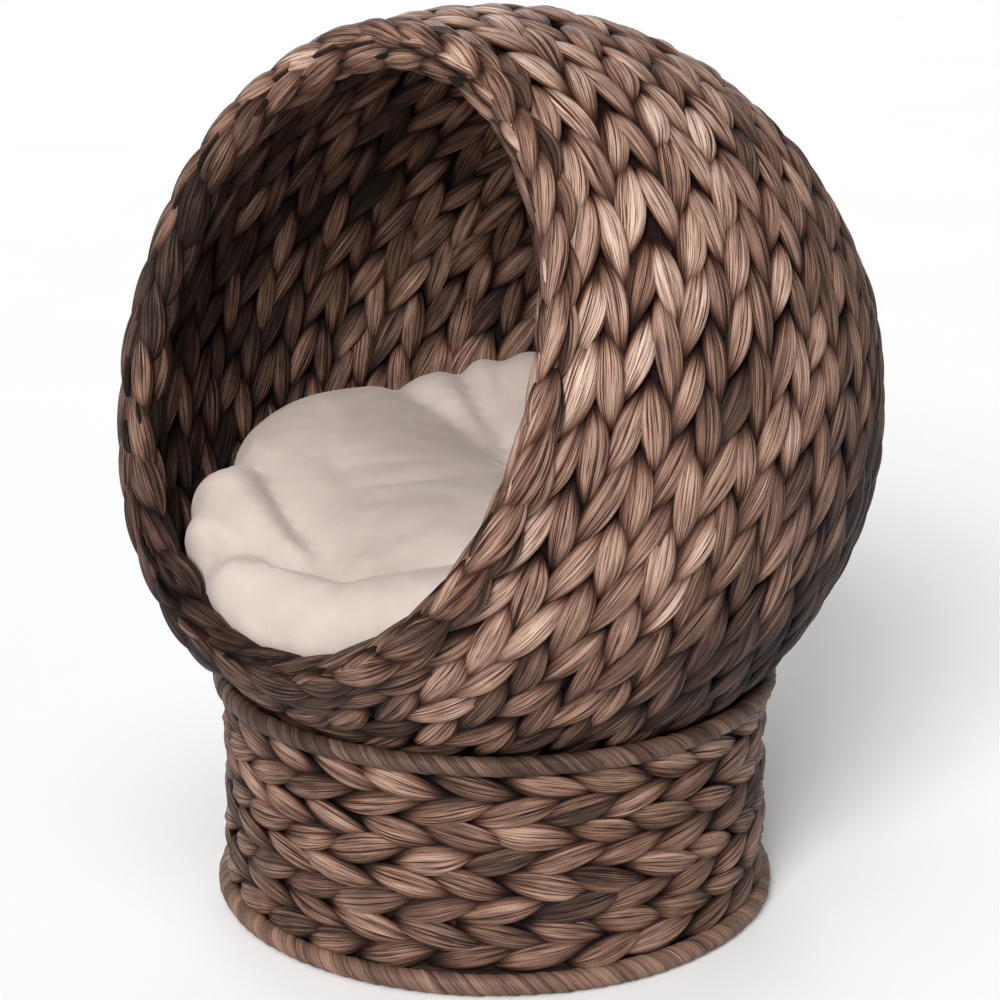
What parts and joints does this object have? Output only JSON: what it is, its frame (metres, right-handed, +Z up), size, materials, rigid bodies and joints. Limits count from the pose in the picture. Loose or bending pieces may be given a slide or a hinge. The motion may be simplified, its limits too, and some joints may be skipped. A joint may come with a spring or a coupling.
{
  "type": "wicker pet bed basket",
  "caption": "Round plaited globe with a wide tilted mouth on a short plaited base ring, holding a loose plush cushion for a small pet.",
  "frame": {"origin": "on the base's axis at floor level, at the middle of the bottom ring's flat underside", "axes": "+Z up; -Y is the side that the mouth faces, and the mouth also tilts up; +X is to the right of someone who faces along +Y, into the mouth"},
  "size_m": [0.43, 0.3954, 0.5028],
  "materials": {
    "plaited_leaf": "plaited dried leaf, brown-grey, satin with fine fibres",
    "wound_strand": "fine leaf strands wound tightly, brown-grey, satin",
    "black_wire": "black painted steel wire, satin",
    "plush": "short-pile plush, warm beige, matte with a soft sheen",
    "filling": "white polyester fibre, matte"
  },
  "bodies": {
    "basket": {"rim_plait": "plaited_leaf", "globe_plait_01": "plaited_leaf", "globe_plait_02": "plaited_leaf", "globe_plait_03": "plaited_leaf", "globe_plait_04": "plaited_leaf", "globe_plait_05": "plaited_leaf", "globe_plait_06": "plaited_leaf", "globe_plait_07": "plaited_leaf", "globe_plait_08": "plaited_leaf", "globe_plait_09": "plaited_leaf", "globe_plait_10": "plaited_leaf", "globe_plait_11": "plaited_leaf", "globe_plait_12": "plaited_leaf", "globe_plait_13": "plaited_leaf", "globe_plait_14": "plaited_leaf", "globe_plait_15": "plaited_leaf", "globe_plait_16": "plaited_leaf", "back_rosette": "plaited_leaf", "mouth_hoop": "black_wire", "rib_hub": "black_wire", "globe_rib_1": "black_wire", "globe_rib_2": "black_wire", "globe_rib_3": "black_wire", "globe_rib_4": "black_wire", "globe_rib_5": "black_wire", "globe_rib_6": "black_wire", "globe_rib_7": "black_wire", "globe_rib_8": "black_wire", "base_top_ring": "black_wire", "base_top_wrap": "wound_strand", "base_bottom_ring": "black_wire", "base_bottom_wrap": "wound_strand", "base_plait_1": "plaited_leaf", "base_plait_2": "plaited_leaf", "base_plait_3": "plaited_leaf", "base_plait_4": "plaited_leaf", "base_post_1": "black_wire", "base_post_2": "black_wire", "base_post_3": "black_wire", "base_post_4": "black_wire", "base_post_5": "black_wire", "base_post_6": "black_wire", "base_post_7": "black_wire", "base_post_8": "black_wire", "seat_hoop": "black_wire", "seat_ties": "wound_strand"},
    "cushion": {"cushion_cover": "plush", "cushion_filling": "filling"}
  },
  "joints": [
    {"name": "cushion_lift", "type": "slide", "parent": "basket", "child": "cushion", "axis": [0, 0, 1], "range_m": [0, 0.09]}
  ]
}
